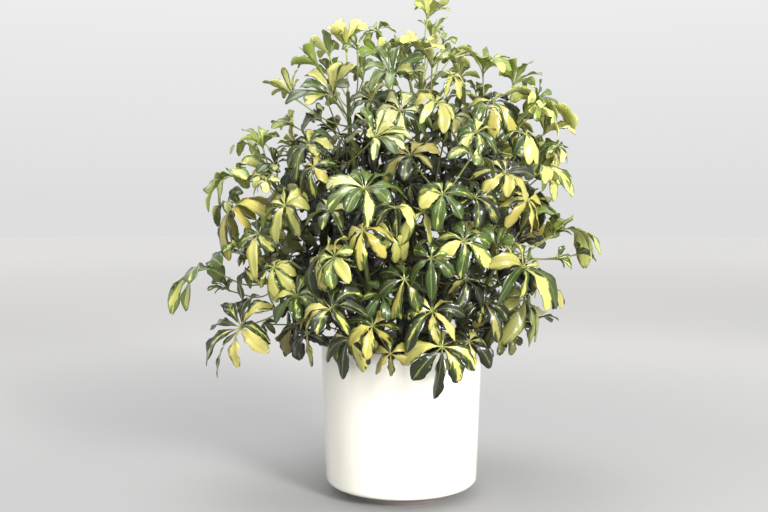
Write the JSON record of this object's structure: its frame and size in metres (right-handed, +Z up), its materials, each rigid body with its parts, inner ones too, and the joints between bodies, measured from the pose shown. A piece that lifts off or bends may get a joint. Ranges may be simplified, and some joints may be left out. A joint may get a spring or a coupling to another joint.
{
  "type": "potted umbrella plant",
  "caption": "Bushy variegated umbrella plant with palmate leaves on several stems, growing in a plain round white pot with a recessed foot.",
  "frame": {"origin": "centre of the pot's foot, on the surface that the pot stands on", "axes": "+Z up along the pot's axis; -Y towards the side that faces the viewer in the picture; +X to the viewer's right"},
  "size_m": [0.8155, 0.629, 0.9212],
  "materials": {
    "pot": "gloss",
    "soil": "matte",
    "foliage": "satin"
  },
  "bodies": {
    "root": {"pot": "pot", "soil": "soil", "stem_tall": "foliage", "stem_upper_left": "foliage", "stem_left": "foliage", "stem_low_left": "foliage", "stem_front": "foliage", "stem_front_right": "foliage", "stem_right": "foliage", "stem_low_right": "foliage", "stem_back_left": "foliage", "stem_back_right": "foliage", "stem_back": "foliage"}
  },
  "joints": []
}
